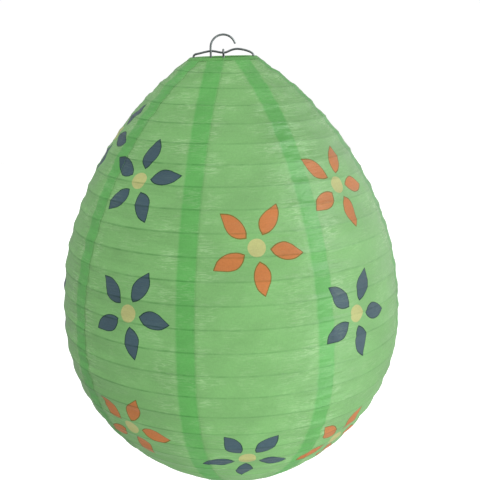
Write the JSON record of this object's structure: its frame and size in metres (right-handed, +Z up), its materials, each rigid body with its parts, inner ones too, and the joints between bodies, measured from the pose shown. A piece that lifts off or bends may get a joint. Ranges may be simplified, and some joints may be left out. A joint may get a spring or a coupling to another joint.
{
  "type": "hanging paper lantern",
  "caption": "Egg-shaped hanging paper lantern on a helical wire rib, held open by a sprung wire spreader and hung from a loose wire hook.",
  "frame": {"origin": "inner crown of the hook, where the lantern hangs", "axes": "+Z up along the egg's axis; +X along the spreader's width, to the right seen from the front; -Y is the front"},
  "size_m": [0.3003, 0.3002, 0.4015],
  "materials": {
    "tissue_paper": "matt translucent green tissue paper",
    "hem_paper": "matt green tissue paper, folded and glued double",
    "galvanised_wire": "dull bright galvanised steel wire",
    "rib_steel": "fine drawn steel wire"
  },
  "bodies": {
    "hook": {"hanging_hook": "galvanised_wire"},
    "lantern": {"spreader_wire": "galvanised_wire", "top_ring": "galvanised_wire", "top_hem": "hem_paper", "rib_wire": "rib_steel", "gore_1": "tissue_paper", "gore_2": "tissue_paper", "gore_3": "tissue_paper", "gore_4": "tissue_paper", "gore_5": "tissue_paper", "gore_6": "tissue_paper", "gore_7": "tissue_paper", "gore_8": "tissue_paper"},
    "base": {"bottom_ring": "galvanised_wire", "bottom_hem": "hem_paper"}
  },
  "joints": [
    {"name": "hook_swing", "type": "hinge", "parent": "hook", "child": "lantern", "pos_m": [0, 0, -0.0142], "axis": [1, 0, 0], "range_deg": [-60, 60]},
    {"name": "shade_collapse", "type": "slide", "parent": "lantern", "child": "base", "axis": [0, 0, 1], "range_m": [0, 0.34], "deforming": ["rib_wire", "gore_1", "gore_2", "gore_3", "gore_4", "gore_5", "gore_6", "gore_7", "gore_8"]}
  ]
}
